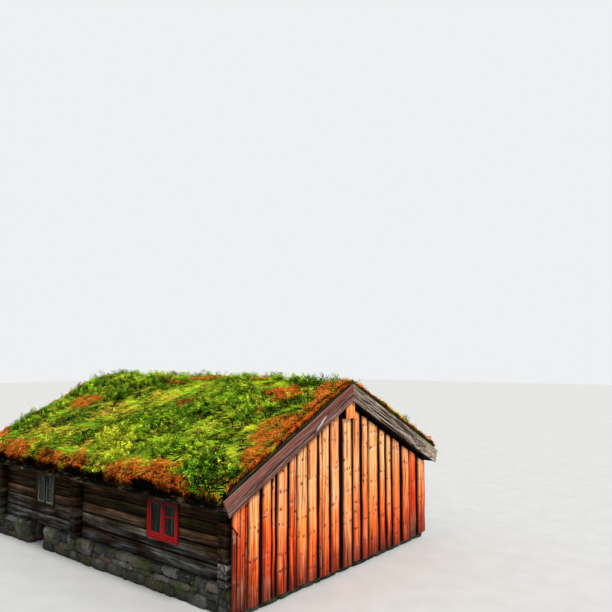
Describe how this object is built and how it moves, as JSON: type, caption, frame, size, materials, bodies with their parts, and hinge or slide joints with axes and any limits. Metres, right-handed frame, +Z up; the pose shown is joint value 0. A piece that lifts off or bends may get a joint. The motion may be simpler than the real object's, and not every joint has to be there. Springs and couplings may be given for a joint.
{
  "type": "log summer-farm house with a turf roof",
  "caption": "Low log house of two rooms with a turf roof, boarded gables, small casement windows and a dry-stone plinth.",
  "frame": {"origin": "on the ground, in the middle of the plan", "axes": "+X along the ridge towards the boarded front gable, -Y towards the long wall with the windows that the picture shows, +Z up"},
  "size_m": [8.25, 6.706, 3.6416],
  "materials": {
    "stone": "matte",
    "log": "matte",
    "floor_board": "matte",
    "roof_board": "matte",
    "birch_bark": "matte",
    "eave_log": "matte",
    "turf": "matte",
    "gable_board": "satin",
    "stained_board": "matte",
    "weathered_board": "matte",
    "red_paint": "satin",
    "grey_paint": "matte",
    "window_glass": "gloss",
    "door_wood": "matte"
  },
  "bodies": {
    "root": {"near_plinth": "stone", "far_plinth": "stone", "front_plinth": "stone", "cross_plinth": "stone", "rear_piers": "stone", "near_long_wall": "log", "far_long_wall": "log", "front_gable_wall": "log", "rear_gable_wall": "log", "cross_sill": "log", "near_cross_wall": "log", "far_cross_wall": "log", "upper_cross_wall": "log", "floor_joists": "log", "ridge_purlin": "log", "side_purlins": "log", "front_floor": "floor_board", "rear_floor": "floor_board", "near_roof_boards": "roof_board", "far_roof_boards": "roof_board", "near_bark": "birch_bark", "far_bark": "birch_bark", "near_eave_log": "eave_log", "far_eave_log": "eave_log", "near_turf": "turf", "far_turf": "turf", "front_cladding": "gable_board", "rear_cladding": "gable_board", "ridge_end_boards": "gable_board", "front_near_bargeboard": "stained_board", "rear_near_bargeboard": "stained_board", "front_far_bargeboard": "weathered_board", "rear_far_bargeboard": "weathered_board", "front_near_verge_board": "weathered_board", "front_far_verge_board": "weathered_board", "rear_near_verge_board": "weathered_board", "rear_far_verge_board": "weathered_board", "front_window_frames": "red_paint", "front_window_sashes": "red_paint", "rear_window_frames": "grey_paint", "rear_window_sashes": "grey_paint", "front_window_glass": "window_glass", "rear_window_glass": "window_glass", "door_frame": "door_wood", "door_leaf": "door_wood"}
  },
  "joints": []
}
